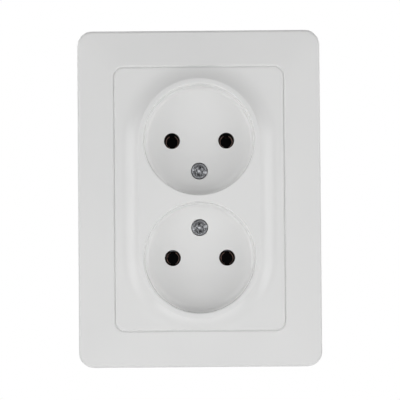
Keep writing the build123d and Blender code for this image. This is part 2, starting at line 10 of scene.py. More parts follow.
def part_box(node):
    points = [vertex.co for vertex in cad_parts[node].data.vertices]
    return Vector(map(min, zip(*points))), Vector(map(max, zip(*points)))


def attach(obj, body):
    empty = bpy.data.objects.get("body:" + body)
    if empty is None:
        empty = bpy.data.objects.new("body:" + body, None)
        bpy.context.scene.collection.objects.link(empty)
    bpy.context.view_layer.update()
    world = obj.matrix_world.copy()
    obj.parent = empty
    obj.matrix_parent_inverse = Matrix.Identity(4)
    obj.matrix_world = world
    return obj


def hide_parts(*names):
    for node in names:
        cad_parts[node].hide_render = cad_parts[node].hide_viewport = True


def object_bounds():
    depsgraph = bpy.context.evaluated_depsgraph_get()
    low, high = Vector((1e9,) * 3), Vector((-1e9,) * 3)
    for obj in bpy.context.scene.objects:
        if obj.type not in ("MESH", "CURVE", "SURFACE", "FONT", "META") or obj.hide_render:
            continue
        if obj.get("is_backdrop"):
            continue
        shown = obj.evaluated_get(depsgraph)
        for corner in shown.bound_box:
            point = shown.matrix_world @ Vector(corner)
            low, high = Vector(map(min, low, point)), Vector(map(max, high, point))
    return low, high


# A double wall socket, dressed round its CAD frame. X is right, Y into the wall and Z up, so the room
# is on the -Y side. Shapes are worked out in millimetres and placed in metres.

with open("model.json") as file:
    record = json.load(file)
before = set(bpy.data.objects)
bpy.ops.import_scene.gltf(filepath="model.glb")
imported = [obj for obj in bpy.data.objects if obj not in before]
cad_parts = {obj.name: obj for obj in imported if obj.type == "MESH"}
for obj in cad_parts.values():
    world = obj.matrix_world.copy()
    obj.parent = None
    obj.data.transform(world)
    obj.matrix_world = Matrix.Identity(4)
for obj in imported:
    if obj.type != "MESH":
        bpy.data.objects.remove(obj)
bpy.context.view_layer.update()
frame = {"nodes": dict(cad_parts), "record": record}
nodes = frame["nodes"]
scene = bpy.context.scene
MM = 0.001
SIDES = {"left": -1, "right": 1}
ROWS = {"upper": 1, "lower": -1}


def box_mm(node):
    """Lowest and highest corner of a CAD node, in millimetres."""
    low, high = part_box(node)
    return low / MM, high / MM


# Sizes of the moulded front in millimetres. Most repeat the solids'; the rounds and the groove are finer.
# groove_turn is in degrees, and frame_rib_places are shares of the frame's width and height. frame_crest is
# how far past the opening's edge the frame's slope is aimed, and end_closing narrows the crack at both ends.
frame_low, frame_high = box_mm("outer_frame")
frame_width = frame_high.x - frame_low.x
frame_height = frame_high.z - frame_low.z
frame_corner = 5.4
frame_wall = 1.8
frame_crown = 0.5
frame_crest = 2.0
frame_rib = 1.2
frame_rib_depth = 6.0
frame_rib_places = (-0.375, -0.125, 0.125, 0.375)
side_draft = 0.3
edge_round = 1.0
groove_round = 0.25
groove_turn = 40.0
groove_reach = 0.6
groove_gap = 0.07
end_closing = 0.065
ledge_reach = 2.0
ledge_root = 2.0
ledge_thickness = 1.5
plastic_wall = 2.0
hump_height = 2.2
cove_width = 6.5
socket_z = 20.5
well_radius = 19.3
well_depth = 11.0
well_draft = 0.15
well_wall = 1.6
rim_round = 0.45
floor_round = 1.5
plateau_margin = 1.8
shoulder = 0.14
skirt_wall = 1.2
skirt_past_ledge = 0.3
cover_rib_depth = 6.0
pin_x = 9.5
pin_hole_radius = 2.8
pin_collar_bore = 3.65
pin_lip = 0.7
pin_hole_edge = 0.03
hole_edge = 0.1
cover_screw_z = 9.9
cover_screw_bore = 2.95
cover_screw_bore_depth = 1.8
cover_screw_hole = 1.65
boss_radius = 4.2
boss_length = 1.5
cover_low, cover_high = box_mm("socket_cover")
panel_width = cover_high.x - cover_low.x
panel_height = cover_high.z - cover_low.z
opening_width = panel_width + 2 * groove_gap
opening_height = panel_height + 2 * groove_gap
opening_corner = 3.4
panel_corner = opening_corner - groove_gap
plateau_y = cover_low.y
panel_y = plateau_y + hump_height
panel_rear = panel_y + plastic_wall
floor_y = plateau_y + well_depth
floor_rear = floor_y + plastic_wall
plateau_radius = well_radius + plateau_margin
tube_radius = well_radius + well_wall
cove_radius = (cove_width**2 + hump_height**2) / (2 * hump_height)

# Sizes of the contact sleeves in millimetres
sleeve_mouth = box_mm("contact_bar_right")[0].y
sleeve_flare = 1.6
sleeve_length = 11.5

# Sizes of the screws in millimetres, and how far the cover screws are turned, in degrees
cover_screws_low, cover_screws_high = box_mm("cover_screws")
cover_head_front = cover_screws_low.y
cover_screw_length = cover_screws_high.y - cover_head_front
cover_head_radius = 2.85
cover_head_edge = 0.4
cover_shank_radius = 1.45
cover_plain_shank = 1.0
cover_pitch = 0.5
cover_thread_depth = 0.25
cover_slot_width = 0.9
cover_slot_depth = 0.7
cover_screw_turns = {"upper": 14.0, "lower": -9.0}
cross_span = 3.4
cross_depth = 1.1
cross_taper = 0.6
head_ring_radius = 1.8
head_ring_width = 0.5
head_ring_depth = 0.14
claw_screw_low, claw_screw_high = box_mm("claw_screw_right")
claw_screw_x = (claw_screw_low.x + claw_screw_high.x) / 2
claw_screw_front = claw_screw_low.y
claw_screw_length = claw_screw_high.y - claw_screw_front
claw_head_radius = 2.8
claw_head_length = 2.0
claw_head_edge = 0.4
claw_neck_radius = 1.45
claw_collar_radius = 2.4
claw_collar_from = 3.15
claw_collar_to = 3.95
claw_shank_radius = 1.5
claw_pitch = 0.5
claw_thread_depth = 0.28
claw_slot_depth = 0.9
terminal_head_radius = 2.8
terminal_head_length = 2.0
terminal_head_edge = 0.3
terminal_shank_radius = 1.7
terminal_pitch = 0.6
terminal_thread_depth = 0.32
terminal_slot_depth = 1.0
screw_slot_width = 0.9
screw_edge_break = 0.06
thread_gap = 0.1
tip_chamfer = 0.4


# Materials

# Sockets of a node that mixes colours: its factor, its two colours and its result
MIX_FACTOR = 0
MIX_COLOURS = (6, 7)
MIX_RESULT = 2

# Red, green and blue of a cool grey with a brightness of 1
COOL_GREY = (1.0, 1.02, 1.07)


class Recipe:
    """A node material under construction: a principled shader and short ways to feed it."""

    def __init__(self, name):
        self.material = bpy.data.materials.new(name)
        self.material.use_nodes = True
        self.tree = self.material.node_tree
        self.shader = self.tree.nodes["Principled BSDF"]
        coords = self.tree.nodes.new("ShaderNodeTexCoord")
        self.place = coords.outputs["Object"]

    def set(self, **values):
        """Sets the shader's own sockets; an underscore in a name stands for a space."""
        for key, value in values.items():
            self.shader.inputs[key.replace("_", " ")].default_value = value

    def node(self, kind, **settings):
        made = self.tree.nodes.new(kind)
        for key, value in settings.items():
            setattr(made, key, value)
        return made

    def link(self, source, target):
        self.tree.links.new(source, target)

    def feed(self, socket, source):
        self.link(source, self.shader.inputs[socket])

    def axes(self):
        """X, Y and Z of a point of the piece."""
        made = self.node("ShaderNodeSeparateXYZ")
        self.link(self.place, made.inputs["Vector"])
        return made.outputs

    def noise(self, scale, detail=3.0, roughness=0.5, stretch=None):
        """A noise value; scale counts features per metre, and stretch scales it per axis."""
        made = self.node("ShaderNodeTexNoise")
        made.inputs["Scale"].default_value = scale
        made.inputs["Detail"].default_value = detail
        made.inputs["Roughness"].default_value = roughness
        place = self.place
        if stretch:
            mapping = self.node("ShaderNodeMapping")
            mapping.inputs["Scale"].default_value = stretch
            self.link(self.place, mapping.inputs["Vector"])
            place = mapping.outputs["Vector"]
        self.link(place, made.inputs["Vector"])
        return made.outputs["Fac"]

    def spread(self, value, low, high, start=0.3, end=0.7):
        """A value from start..end spread over low..high."""
        made = self.node("ShaderNodeMapRange", clamp=True)
        self.link(value, made.inputs["Value"])
        for key, number in {"From Min": start, "From Max": end, "To Min": low, "To Max": high}.items():
            made.inputs[key].default_value = number
        return made.outputs["Result"]

    def math(self, operation, first, second=None):
        """A sum, product or the like of one or two values, each a number or a socket."""
        made = self.node("ShaderNodeMath", operation=operation)
        for socket, value in zip(made.inputs, (first, second)):
            if value is None:
                continue
            if isinstance(value, (int, float)):
                socket.default_value = value
            else:
                self.link(value, socket)
        return made.outputs[0]

    def blend(self, factor, first, second):
        """A colour between two others, each a colour or a socket."""
        made = self.node("ShaderNodeMix", data_type="RGBA")
        self.link(factor, made.inputs[MIX_FACTOR])
        for number, value in zip(MIX_COLOURS, (first, second)):
            socket = made.inputs[number]
            if isinstance(value, bpy.types.NodeSocket):
                self.link(value, socket)
            else:
                socket.default_value = (*value, 1.0)
        return made.outputs[MIX_RESULT]

    def greys(self, value, stops):
        """A cool grey looked up along a value, from stops of place and brightness."""
        made = self.node("ShaderNodeValToRGB")
        ramp = made.color_ramp.elements
        ramp.remove(ramp[1])
        for i, (place, grey) in enumerate(stops.items()):
            stop = ramp.new(place) if i else ramp[0]
            stop.position = place
            stop.color = (*(grey * part for part in COOL_GREY), 1.0)
        self.link(value, made.inputs["Fac"])
        return made.outputs["Color"]

    def bump(self, height, distance, under=None):
        """A normal from a height of so many metres, on top of the one under it."""
        made = self.node("ShaderNodeBump")
        made.inputs["Distance"].default_value = distance
        made.inputs["Strength"].default_value = 1.0
        self.link(height, made.inputs["Height"])
        if under is not None:
            self.link(under, made.inputs["Normal"])
        return made.outputs["Normal"]


def well_shares(recipe):
    """How much of a point is a well's wall, and how much the low side of its floor, from 0 to 1."""
    x, y, z = recipe.axes()
    rise = recipe.math("SUBTRACT", recipe.math("ABSOLUTE", z), socket_z * MM)
    squares = [recipe.math("POWER", side, 2.0) for side in (x, rise)]
    away = recipe.math("SQRT", recipe.math("ADD", *squares))
    within = recipe.spread(away, 1.0, 0.0, (well_radius + rim_round / 3) * MM, (well_radius + rim_round) * MM)
    deep = recipe.spread(y, 0.0, 1.0, plateau_y * MM, (plateau_y + 2 * rim_round) * MM)
    well = recipe.math("MULTIPLY", within, deep)
    foot = (well_radius - floor_round) * MM
    outer = recipe.spread(away, 0.0, 1.0, foot, (well_radius - well_draft) * MM)
    inner = recipe.spread(away, 1.0, 0.0, (well_radius - 2 * floor_round) * MM, foot)
    height = recipe.math("MULTIPLY", recipe.math("SIGN", z), rise)
    # Painted shade: a floor darkens fully from three quarters of a radius below its middle, and not at all
    # above a fifth.
    full_shade_height = -0.75 * well_radius * MM
    no_shade_height = -0.2 * well_radius * MM
    low = recipe.spread(height, 1.0, 0.0, full_shade_height, no_shade_height)
    wall = recipe.math("MULTIPLY", well, outer)
    low_floor_shade = recipe.math("MULTIPLY", recipe.math("MULTIPLY", well, low), inner)
    return wall, low_floor_shade


def cover_plastic():
    """White thermoplastic, soft ripple; painted light on the wells' walls and painted shade low on their
    floors.
    """
    recipe = Recipe("cover_plastic")
    recipe.set(Specular_IOR_Level=0.5, IOR=1.52)
    tint = recipe.spread(recipe.noise(22.0, detail=2.0), 0.0, 1.0)
    plain = recipe.blend(tint, (0.825, 0.827, 0.824), (0.855, 0.855, 0.85))
    wall, low_floor_shade = well_shares(recipe)
    # Painted shade low on the well floors, where the wall below shadows them.
    shaded_floor_colour = recipe.blend(low_floor_shade, plain, (0.78, 0.781, 0.777))
    # Painted light: the wells' walls take a near-white colour so that they read as brightly lit.
    recipe.feed("Base Color", recipe.blend(wall, shaded_floor_colour, (0.93, 0.93, 0.925)))
    recipe.feed("Roughness", recipe.spread(recipe.noise(160.0, detail=4.0), 0.2, 0.26))
    ripple = recipe.bump(recipe.noise(90.0, detail=1.0), 8e-6)
    recipe.feed("Normal", recipe.bump(recipe.noise(3200.0, detail=1.0), 1.5e-6, under=ripple))
    return recipe.material


def base_plastic():
    """Anthracite nylon with a spark-eroded skin and paler flow marks."""
    recipe = Recipe("base_plastic")
    recipe.set(Specular_IOR_Level=0.2)
    flow = recipe.noise(60.0, detail=5.0, roughness=0.6, stretch=(1.0, 0.35, 1.0))
    tint = recipe.spread(flow, 0.0, 1.0)
    recipe.feed("Base Color", recipe.blend(tint, (0.034, 0.034, 0.037), (0.060, 0.060, 0.064)))
    recipe.feed("Roughness", recipe.spread(recipe.noise(900.0, detail=3.0), 0.6, 0.75))
    coarse = recipe.bump(recipe.noise(1400.0, detail=3.0), 3e-5)
    recipe.feed("Normal", recipe.bump(recipe.noise(5200.0, detail=2.0), 1.2e-5, under=coarse))
    return recipe.material


def strap_steel():
    """Hot-dip galvanised sheet: crystal spangle, each grain with its own brightness and polish."""
    recipe = Recipe("strap_steel")
    recipe.set(Metallic=1.0)
    warp_reach = 1.6 * MM
    grain_share = 0.7
    warp = recipe.node("ShaderNodeVectorMath", operation="MULTIPLY_ADD")
    drift = recipe.node("ShaderNodeTexNoise")
    drift.inputs["Scale"].default_value = 320.0
    recipe.link(recipe.place, drift.inputs["Vector"])
    recipe.link(drift.outputs["Color"], warp.inputs[0])
    warp.inputs[1].default_value = (warp_reach,) * 3
    recipe.link(recipe.place, warp.inputs[2])
    grains = recipe.node("ShaderNodeTexVoronoi", feature="F1")
    grains.inputs["Scale"].default_value = 260.0
    recipe.link(warp.outputs["Vector"], grains.inputs["Vector"])
    grey = recipe.node("ShaderNodeSeparateColor")
    recipe.link(grains.outputs["Color"], grey.inputs["Color"])
    shade = recipe.math("MULTIPLY", grey.outputs["Red"], grain_share)
    streak = recipe.noise(240.0, detail=4.0, stretch=(1.0, 1.0, 0.12))
    tone = recipe.math("ADD", shade, recipe.math("MULTIPLY", streak, 1.0 - grain_share))
    recipe.feed("Base Color", recipe.blend(tone, (0.45, 0.46, 0.48), (0.66, 0.67, 0.69)))
    recipe.feed("Roughness", recipe.spread(grey.outputs["Green"], 0.29, 0.46, 0.0, 1.0))
    recipe.feed("Normal", recipe.bump(recipe.noise(1800.0, detail=3.0), 6e-6))
    return recipe.material


def screw_zinc():
    """Zinc-plated steel with a faint haze and rubbed spots."""
    recipe = Recipe("screw_zinc")
    recipe.set(Metallic=1.0)
    haze = recipe.noise(700.0, detail=5.0, roughness=0.6)
    tint = recipe.spread(haze, 0.0, 1.0)
    recipe.feed("Base Color", recipe.blend(tint, (0.46, 0.47, 0.49), (0.62, 0.63, 0.64)))
    recipe.feed("Roughness", recipe.spread(recipe.noise(1500.0, detail=3.0), 0.29, 0.42))
    recipe.feed("Normal", recipe.bump(recipe.noise(4200.0, detail=3.0), 5e-6))
    return recipe.material


def worn_zinc_painted_light():
    """Turned zinc head: painted light and shade in rings, slot and recess, with tool-mark stains and chips.
    """
    recipe = Recipe("worn_zinc_painted_light")
    recipe.set(Metallic=1.0)
    across = recipe.node("ShaderNodeVectorMath", operation="MULTIPLY")
    recipe.link(recipe.place, across.inputs[0])
    across.inputs[1].default_value = (1.0, 0.0, 1.0)
    length = recipe.node("ShaderNodeVectorMath", operation="LENGTH")
    recipe.link(across.outputs["Vector"], length.inputs[0])
    share = recipe.math("DIVIDE", length.outputs["Value"], cover_head_radius * MM)
    depth = recipe.axes()["Y"]
    # Painted light and shade by place: dark and light rings of reflection and shade round the face, a painted
    # highlight along the slot, painted shade deep in the cross recess and a painted highlight at its middle.
    rim = {0.75: 0.15, 0.86: 0.16, 0.92: 0.14, 1.0: 0.13}
    top = recipe.greys(share, {0.0: 0.30, 0.45: 0.17, 0.53: 0.10, 0.68: 0.09, **rim})
    slot = recipe.greys(share, {0.0: 0.7, 0.35: 0.22, 0.5: 0.3, 0.9: 0.34, 1.0: 0.2})
    recess = recipe.greys(share, {0.0: 0.9, 0.09: 0.5, 0.2: 0.12, 0.6: 0.05})
    slot_floor = cover_slot_depth * MM
    in_slot = recipe.spread(depth, 0.0, 1.0, slot_floor / 2, slot_floor * 0.9)
    in_recess = recipe.spread(depth, 0.0, 1.0, slot_floor * 1.1, cross_depth * MM)
    painted_light_look = recipe.blend(in_recess, recipe.blend(in_slot, top, slot), recess)
    rings = recipe.node("ShaderNodeTexNoise", noise_dimensions="1D")
    rings.inputs["Scale"].default_value = 14.0
    rings.inputs["Detail"].default_value = 3.0
    recipe.link(share, rings.inputs["W"])
    stain = recipe.noise(900.0, detail=4.0, roughness=0.6)
    worn = recipe.math("MULTIPLY", recipe.math("ADD", rings.outputs["Fac"], stain), 0.5)
    dirt = recipe.spread(worn, 0.0, 0.8, 0.45, 0.6)
    aged = recipe.blend(dirt, painted_light_look, (0.045, 0.046, 0.048))
    chips = recipe.spread(recipe.noise(2300.0, detail=4.0, roughness=0.6), 0.0, 0.8, 0.53, 0.72)
    recipe.feed("Base Color", recipe.blend(chips, aged, (0.6, 0.612, 0.64)))
    recipe.feed("Roughness", recipe.spread(stain, 0.3, 0.5))
    recipe.feed("Normal", recipe.bump(rings.outputs["Fac"], 1.5e-5))
    return recipe.material


def contact_brass():
    """Rolled brass strip: fine lengthwise lines, brown tarnish; sleeves in painted shade, painted highlight
    at throat.
    """
    recipe = Recipe("contact_brass")
    recipe.set(Metallic=1.0)
    lines = recipe.noise(500.0, detail=4.0, stretch=(1.0, 1.0, 0.08))
    tarnish = recipe.noise(180.0, detail=5.0, roughness=0.65)
    bright = recipe.blend(recipe.spread(lines, 0.0, 1.0), (0.60, 0.43, 0.20), (0.70, 0.53, 0.27))
    strip = recipe.blend(recipe.spread(tarnish, 0.0, 0.6, 0.5, 0.8), bright, (0.34, 0.22, 0.10))
    # Painted light on the sleeves: a painted highlight at the throat, where the flare meets the bore, and
    # painted shade over the rest of each sleeve.
    highlight_reach = 0.2 * MM
    shade_reach = 0.8 * MM
    root_blend = (0.2 * MM, 0.7 * MM)
    sleeve_matt = 0.35
    depth = recipe.axes()["Y"]
    throat = (sleeve_mouth + sleeve_flare) * MM
    throat_distance = recipe.math("ABSOLUTE", recipe.math("SUBTRACT", depth, throat))
    sleeve_shade = recipe.spread(throat_distance, 0.0, 1.0, highlight_reach, shade_reach)
    sleeve_painted_light = recipe.blend(sleeve_shade, (0.95, 0.74, 0.67), (0.1, 0.075, 0.07))
    root = (sleeve_mouth + sleeve_length) * MM
    deep = recipe.spread(depth, 0.0, 1.0, root + root_blend[0], root + root_blend[1])
    recipe.feed("Base Color", recipe.blend(deep, sleeve_painted_light, strip))
    matt = recipe.math("MULTIPLY", recipe.math("SUBTRACT", 1.0, deep), sleeve_matt)
    recipe.feed("Roughness", recipe.math("ADD", recipe.spread(tarnish, 0.4, 0.55), matt))
    recipe.feed("Normal", recipe.bump(lines, 4e-6))
    return recipe.material


def spring_steel():
    """Blued spring steel."""
    recipe = Recipe("spring_steel")
    recipe.set(Metallic=1.0)
    temper = recipe.noise(350.0, detail=4.0)
    tint = recipe.spread(temper, 0.0, 1.0)
    recipe.feed("Base Color", recipe.blend(tint, (0.16, 0.17, 0.20), (0.28, 0.28, 0.30)))
    recipe.feed("Roughness", recipe.spread(recipe.noise(1200.0), 0.29, 0.44))
    recipe.feed("Normal", recipe.bump(recipe.noise(3000.0), 4e-6))
    return recipe.material


finishes = {
    "cover_plastic": cover_plastic(),
    "base_plastic": base_plastic(),
    "strap_steel": strap_steel(),
    "screw_zinc": screw_zinc(),
    "contact_brass": contact_brass(),
    "spring_steel": spring_steel(),
    "worn_zinc_painted_light": worn_zinc_painted_light(),
}
slots = {row["node"]: row["material_slot"] for row in frame["record"]["subparts"]}
for name, node in nodes.items():
    node.data.materials.clear()
    node.data.materials.append(finishes[slots[name]])


# Shapes

SHARP_ANGLE = math.radians(35)
CORNER_STEPS = 14
ROUND_STEPS = 6
FOOT_STEPS = 10
ROUND_SIDES = 56
MERGE_DISTANCE = 1e-4
FLAT_TOLERANCE = 1e-6
BLOCK_FACES = ((0, 1, 3, 2), (4, 6, 7, 5), (0, 4, 5, 1), (2, 3, 7, 6), (0, 2, 6, 4), (1, 5, 7, 3))

# What delaunay_2d_cdt is asked for: only the triangles inside the edges given to it
TRIANGLES_INSIDE = 1


def inside(point, outline):
    """Whether a point lies inside a closed outline, by counting crossings."""
    found = False
    for first, second in zip(outline, outline[1:] + outline[:1]):
        if (first.y > point.y) != (second.y > point.y):
            cross = first.x + (point.y - first.y) * (second.x - first.x) / (second.y - first.y)
            found ^= point.x < cross
    return found


class Shell:
    """Points and faces of a mesh under construction, in millimetres."""

    def __init__(self):
        self.points = []
        self.faces = []

    def row(self, points):
        """Takes in points; returns their numbers."""
        start = len(self.points)
        self.points += points
        return list(range(start, len(self.points)))

    def band(self, first, second, closed=True):
        """Four-sided faces between two rows of equal length."""
        count = len(first)
        for i in range(count if closed else count - 1):
            j = (i + 1) % count
            self.faces.append((first[i], first[j], second[j], second[i]))

    def skin(self, rows, closed=True):
        """Rows of points joined one to the next; returns their numbers."""
        made = [self.row(points) for points in rows]
        for first, second in zip(made, made[1:]):
            self.band(first, second, closed)
        return made

    def tube(self, rows):
        """Closed rows joined to the next and the last one to the first."""
        made = self.skin(rows)
        self.band(made[-1], made[0])

    def block(self, low, high):
        """A box between two corners."""
        across, deep, upright = zip(low, high)
        corners = self.row([(x, y, z) for x in across for y in deep for z in upright])
        for face in BLOCK_FACES:
            self.faces.append(tuple(corners[i] for i in face))

    def plate(self, outer, holes):
        """A flat wall in X and Z inside one row of points and outside others."""
        loops = [outer, *holes]
        order = [number for loop in loops for number in loop]
        flat = [Vector((self.points[i][0], self.points[i][2])) for i in order]
        edges = []
        start = 0
        for loop in loops:
            edges += [(start + i, start + (i + 1) % len(loop)) for i in range(len(loop))]
            start += len(loop)
        _, _, triangles, sources, _, _ = delaunay_2d_cdt(
            flat, edges, [], TRIANGLES_INSIDE, FLAT_TOLERANCE)
        outlines = [[flat[order.index(i)] for i in hole] for hole in holes]
        for triangle in triangles:
            corners = [sources[i][0] for i in triangle]
            middle = sum((flat[i] for i in corners), Vector((0, 0))) / 3
            if not any(inside(middle, outline) for outline in outlines):
                self.faces.append(tuple(order[i] for i in corners))

    def take_in(self, other, flip_z=False):
        """Takes in another shell, or its mirror image in Z."""
        start = len(self.points)
        sign = -1 if flip_z else 1
        self.points += [(x, y, sign * z) for x, y, z in other.points]
        for face in other.faces:
            face = tuple(start + i for i in face)
            self.faces.append(face[::-1] if flip_z else face)


def arc(start, end, steps=ROUND_STEPS):
    """Angles in radians from start to end degrees."""
    return [math.radians(start + (end - start) * i / steps) for i in range(steps + 1)]


def rounded_rectangle(width, height, corner, y):
    """A row of points round a rounded rectangle that faces the room."""
    points = []
    for quarter, (side, end) in enumerate(((1, 1), (-1, 1), (-1, -1), (1, -1))):
        for angle in arc(90 * quarter, 90 * quarter + 90, CORNER_STEPS):
            x = side * (width / 2 - corner) + corner * math.cos(angle)
            z = end * (height / 2 - corner) + corner * math.sin(angle)
            points.append((x, y, z))
    return points


def circle(x, z, radius, y, steps=ROUND_SIDES):
    """A row of points round an axis that runs along Y."""
    turn = 2 * math.pi / steps
    return [(x + radius * math.cos(i * turn), y, z + radius * math.sin(i * turn)) for i in range(steps)]


def turned(shell, x, z, profile, steps=ROUND_SIDES):
    """A wall turned about an axis along Y, from (radius, y) points; returns its rows."""
    return shell.skin([circle(x, z, radius, y, steps) for radius, y in profile])


def finish_mesh(mesh):
    """Joins meeting points, turns all faces outwards and keeps only real edges sharp."""
    work = bmesh.new()
    work.from_mesh(mesh)
    bmesh.ops.remove_doubles(work, verts=work.verts, dist=MERGE_DISTANCE * MM)
    bmesh.ops.dissolve_degenerate(work, edges=work.edges, dist=MERGE_DISTANCE * MM)
    bmesh.ops.recalc_face_normals(work, faces=work.faces)
    work.to_mesh(mesh)
    work.free()
    mesh.shade_smooth()
    mesh.set_sharp_from_angle(angle=SHARP_ANGLE)


def shell_mesh(name, shell):
    """A finished mesh from a shell."""
    mesh = bpy.data.meshes.new(name)
    mesh.from_pydata([tuple(value * MM for value in point) for point in shell.points], [], shell.faces)
    finish_mesh(mesh)
    return mesh


def add_object(name, data, place=Matrix.Identity(4)):
    """A new object of the scene."""
    made = bpy.data.objects.new(name, data)
    scene.collection.objects.link(made)
    made.matrix_world = place
    return made


def make_piece(name, shell, body, slot, node, place=Matrix.Identity(4), finish=None):
    """A piece from a shell, riding on a body and standing for a CAD node, in its slot's finish or another."""
    piece = add_object(name, shell_mesh(name, shell), place)
    piece.data.materials.append(finishes[finish or slot])
    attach(piece, body)
    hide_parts(node)
    return piece


def groove_edge():
    """(way out, drop) of a lip that turns from a front face down the groove's slope."""
    edge = []
    for angle in arc(0, groove_turn):
        edge.append((groove_round * math.sin(angle), groove_round * (1 - math.cos(angle))))
    out, drop = edge[-1]
    edge.append((groove_reach, drop + (groove_reach - out) * math.tan(math.radians(groove_turn))))
    return edge


# Outer frame

def frame_section():
    """(inset, corner, y) from the frame's foot up its side, over the front and round inside."""
    border = (frame_width - opening_width) / 2
    side_y = panel_y + frame_crown
    crest_y = panel_y - frame_crown * frame_crest / border
    slope = (crest_y - side_y) / (border + frame_crest - side_draft)

    def crown(inset):
        return side_y + (inset - side_draft) * slope

    section = [(0, frame_corner, 0)]
    for angle in arc(0, 90):
        inset = side_draft + edge_round * (1 - math.cos(angle))
        y = crown(side_draft + edge_round) + edge_round * (1 - math.sin(angle))
        section.append((inset, frame_corner - inset, y))
    for out, drop in groove_edge():
        inset = border - groove_reach + out
        section.append((inset, opening_corner + border - inset, crown(border - groove_reach) + drop))
    ledge_rear = panel_rear + ledge_thickness
    return section + [
        (border, opening_corner, panel_rear),
        (border + ledge_reach, opening_corner - ledge_reach, panel_rear),
        (border + ledge_reach, opening_corner - ledge_reach, ledge_rear),
        (border - ledge_root, opening_corner + ledge_root, ledge_rear),
        (border - ledge_root, opening_corner + ledge_root, panel_rear),
        (frame_wall, frame_corner - frame_wall, panel_rear),
        (frame_wall, frame_corner - frame_wall, 0),
    ]


def frame_shell():
    """The frame's moulding with the ribs behind it."""
    shell = Shell()
    shell.tube([
        rounded_rectangle(frame_width - 2 * inset, frame_height - 2 * inset, corner, y)
        for inset, corner, y in frame_section()
    ])
    front, rear = panel_rear - frame_rib, panel_rear + frame_rib_depth
    inner_x = opening_width / 2 + ledge_root - frame_rib
    inner_z = opening_height / 2 + ledge_root - frame_rib
    outer_x = (frame_width - frame_wall) / 2
    outer_z = (frame_height - frame_wall) / 2
    half = frame_rib / 2
    for place in frame_rib_places:
        x, z = place * frame_width, place * frame_height
        for side in (-1, 1):
            low_x, high_x = sorted((side * inner_x, side * outer_x))
            low_z, high_z = sorted((side * inner_z, side * outer_z))
            shell.block((low_x, front, z - half), (high_x, rear, z + half))
            shell.block((x - half, front, low_z), (x + half, rear, high_z))
    return shell


# Socket cover

# Rays from a well's middle to the panel's edge: how many between the stops that outward_rays() sets
RAY_COUNTS = (14, 18, 22, 48, 22, 18, 14)

# Rays from a well's middle to the line midway between the wells
WAIST_RAYS = 48
COVE_STEPS = 16
TUBE_SIDES = 96
HALVINGS = 44


def front_depth(x, z):
    """Depth of the cover's front: a stadium-shaped plateau with a hollow-curved flank."""
    away = math.hypot(x, max(abs(z) - socket_z, 0))
    if away <= plateau_radius:
        return plateau_y
    run = max(plateau_radius + cove_width - away, 0)
    return panel_y - cove_radius + math.sqrt(cove_radius**2 - run**2)


def edge_distance(x, z):
    """How far a point lies inside the panel's rounded outline."""
    side = abs(x) - panel_width / 2 + panel_corner
    end = abs(z) - panel_height / 2 - end_closing + panel_corner
    return panel_corner - math.hypot(max(side, 0), max(end, 0)) - min(max(side, end), 0)


def run_to_edge(start, way, inset):
    """How far one can go from start along way until the panel's edge is inset away."""
    near, far = 0.0, panel_height
    for _ in range(HALVINGS):
        middle = (near + far) / 2
        if edge_distance(start[0] + way[0] * middle, start[1] + way[1] * middle) > inset:
            near = middle
        else:
            far = middle
    return near


def even_steps(start, end, steps):
    """Numbers from start up to, not including, end."""
    return [start + (end - start) * i / steps for i in range(steps)]


def outward_rays():
    """Angles round a well whose rays run out to the panel's edge, close together at its corners."""
    flank = math.degrees(math.atan2(socket_z, plateau_radius))
    rise = panel_height / 2 - socket_z
    low = math.degrees(math.atan2(rise - panel_corner, panel_width / 2))
    high = math.degrees(math.atan2(rise, panel_width / 2 - panel_corner))
    stops = [-flank, 0, low, high, 180 - high, 180 - low, 180, 180 + flank]
    angles = []
    for start, end, steps in zip(stops, stops[1:], RAY_COUNTS):
        angles += even_steps(start, end, steps)
    return angles + [stops[-1]]


def well_profile():
    """(radius, y) from the edge of the well's floor up its wall and over the rim."""
    floor_radius = well_radius - well_draft
    profile = []
    for angle in arc(0, 90, FOOT_STEPS):
        inset = floor_round * (1 - math.sin(angle))
        profile.append((floor_radius - inset, floor_y - floor_round * (1 - math.cos(angle))))
    for angle in arc(0, 90):
        out = rim_round * (1 - math.cos(angle))
        profile.append((well_radius + out, plateau_y + rim_round * (1 - math.sin(angle))))
    return profile


def well_holes(shell):
    """Bores the pin holes and the screw hole of the upper well; returns their front and rear edges."""
    pin_hole = [
        (pin_hole_radius + pin_hole_edge, floor_y), (pin_hole_radius, floor_y + pin_hole_edge),
        (pin_hole_radius, floor_y + pin_lip), (pin_collar_bore, floor_y + pin_lip),
        (pin_collar_bore, floor_rear),
    ]
    bore_floor = floor_y + cover_screw_bore_depth
    boss_rear = floor_rear + boss_length
    screw_hole = [
        (cover_screw_bore + hole_edge, floor_y), (cover_screw_bore, floor_y + hole_edge),
        (cover_screw_bore, bore_floor), (cover_screw_hole, bore_floor), (cover_screw_hole, boss_rear),
        (boss_radius, boss_rear), (boss_radius, floor_rear),
    ]
    walls = [turned(shell, x, socket_z, pin_hole) for x in (-pin_x, pin_x)]
    walls.append(turned(shell, 0, cover_screw_z, screw_hole))
    return [wall[0] for wall in walls], [wall[-1] for wall in walls]


